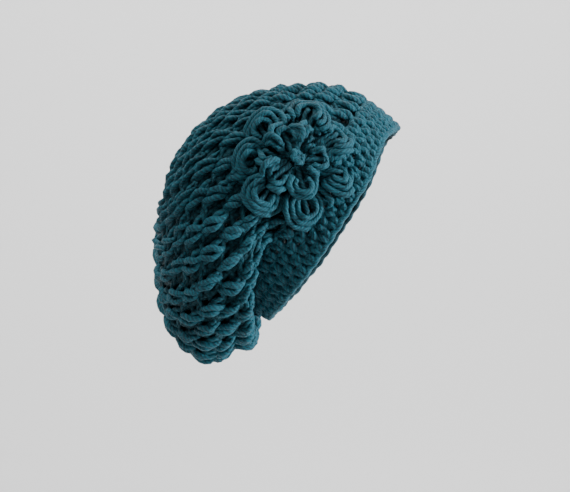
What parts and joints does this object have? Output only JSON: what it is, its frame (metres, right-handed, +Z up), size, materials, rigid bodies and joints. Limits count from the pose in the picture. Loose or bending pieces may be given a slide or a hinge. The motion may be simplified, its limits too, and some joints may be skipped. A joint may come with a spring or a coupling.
{
  "type": "slouchy crocheted beanie",
  "caption": "Slouchy teal beanie crocheted in bulky yarn, worn shape, with a single crochet brim and a layered crochet flower on the right side",
  "frame": {"origin": "centre of the head opening, in the middle of the brim's rim", "axes": "+X towards the wearer's face, +Y towards the wearer's left, +Z up; the flower is on the wearer's right, -Y"},
  "size_m": [0.2203, 0.229, 0.2505],
  "materials": {
    "yarn": "matte"
  },
  "bodies": {
    "root": {"brim": "yarn", "crown": "yarn", "petals_outer": "yarn", "petals_inner": "yarn", "flower_eye": "yarn"}
  },
  "joints": []
}
